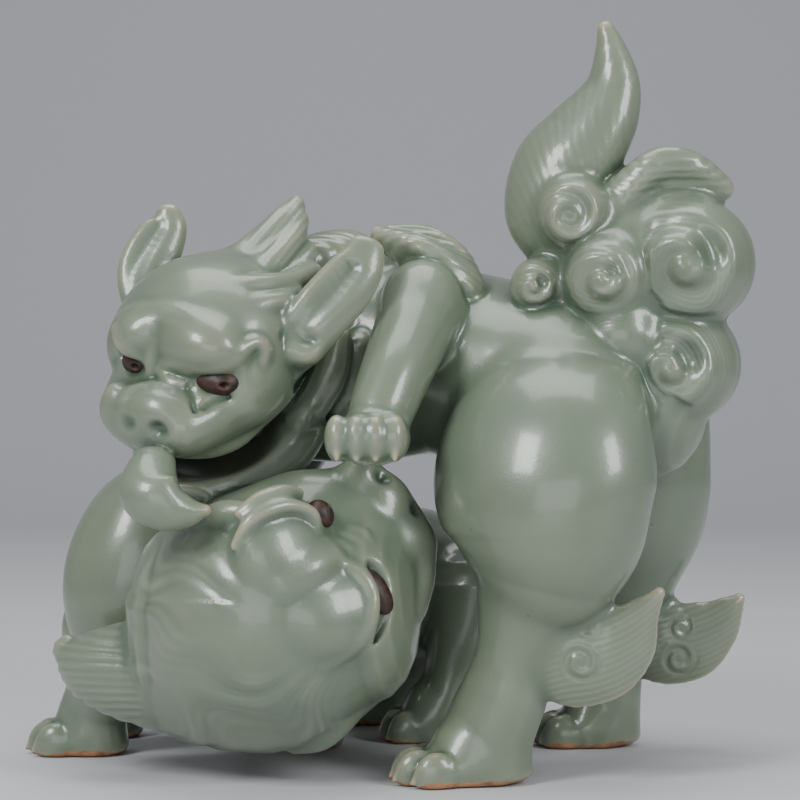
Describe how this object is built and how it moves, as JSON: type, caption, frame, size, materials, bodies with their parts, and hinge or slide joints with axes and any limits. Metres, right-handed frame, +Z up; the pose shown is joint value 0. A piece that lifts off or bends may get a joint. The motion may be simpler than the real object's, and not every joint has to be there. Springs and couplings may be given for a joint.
{
  "type": "foo dog statue",
  "caption": "Glazed ceramic foo dog group: one dog stands over a crouching one with a paw on it, with curled manes, hock tufts and a flame-tipped tail.",
  "frame": {"origin": "middle of the statue's box on the table", "axes": "+X from the heads to the tail, +Y away from the show side, +Z up"},
  "size_m": [0.2939, 0.2227, 0.2954],
  "materials": {
    "glaze": "glossy sage-green celadon, pale on ridges and darker where it pools",
    "biscuit": "matte unglazed iron-brown clay"
  },
  "bodies": {
    "root": {"standing_trunk_near": "glaze", "standing_trunk_far": "glaze", "standing_head": "glaze", "standing_jaw": "glaze", "standing_teeth": "glaze", "standing_tongue": "glaze", "standing_ear_near": "glaze", "standing_ear_far": "glaze", "standing_crest": "glaze", "standing_nape_mane": "glaze", "standing_shoulder_lock_near": "glaze", "standing_shoulder_lock_far": "glaze", "standing_eyes": "biscuit", "standing_foreleg_near": "glaze", "standing_forepaw_near": "glaze", "standing_foreleg_far": "glaze", "standing_forepaw_far": "glaze", "standing_hindleg_near": "glaze", "standing_hindpaw_near": "glaze", "standing_hindleg_far": "glaze", "standing_hindpaw_far": "glaze", "hock_tuft_near": "glaze", "hock_tuft_far": "glaze", "tail_core": "glaze", "tail_flame": "glaze", "tail_top_lock": "glaze", "tail_curls_near": "glaze", "tail_curls_far": "glaze", "crouching_trunk_near": "glaze", "crouching_trunk_far": "glaze", "crouching_head": "glaze", "crouching_mane": "glaze", "crouching_brows": "glaze", "crouching_eyes": "biscuit", "crouching_jaw": "glaze", "crouching_ear_upper": "glaze", "crouching_ear_lower": "glaze", "crouching_cheek_lock": "glaze", "crouching_foreleg_near": "glaze", "crouching_forepaw_near": "glaze", "crouching_foreleg_far": "glaze", "crouching_forepaw_far": "glaze", "crouching_hindleg_near": "glaze", "crouching_hindpaw_near": "glaze", "crouching_hindleg_far": "glaze", "crouching_hindpaw_far": "glaze", "crouching_tail": "glaze"}
  },
  "joints": []
}
